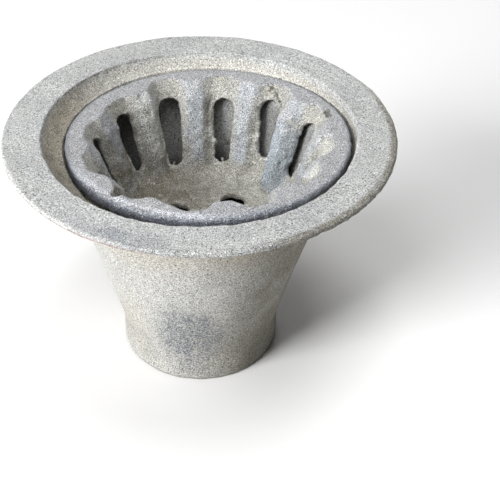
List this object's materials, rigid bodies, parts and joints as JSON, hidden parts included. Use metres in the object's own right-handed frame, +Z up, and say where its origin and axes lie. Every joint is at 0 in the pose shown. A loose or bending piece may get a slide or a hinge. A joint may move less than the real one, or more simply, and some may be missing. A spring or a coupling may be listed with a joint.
{
  "type": "floor gully with strainer basket",
  "caption": "Cast-iron floor gully: a wide flange with a recess, a tapering funnel with a short pipe spigot, and a loose fluted strainer basket with slots lying in the recess.",
  "frame": {"origin": "centre of the spigot's lower end, on the body's axis", "axes": "+Z up along the body's axis, from the spigot to the flange; +X is the side that the strainer has slid towards, give or take 22 degrees"},
  "size_m": [0.23, 0.23, 0.157],
  "materials": {
    "body_iron": "raw sand-cast, matt and gritty, light grey with sandy and bluish stains",
    "basket_iron": "raw sand-cast, blue-grey on the ring and ribs, sandy in the flutes"
  },
  "bodies": {
    "root": {"gully_body": "body_iron", "strainer_basket": "basket_iron"}
  },
  "joints": []
}
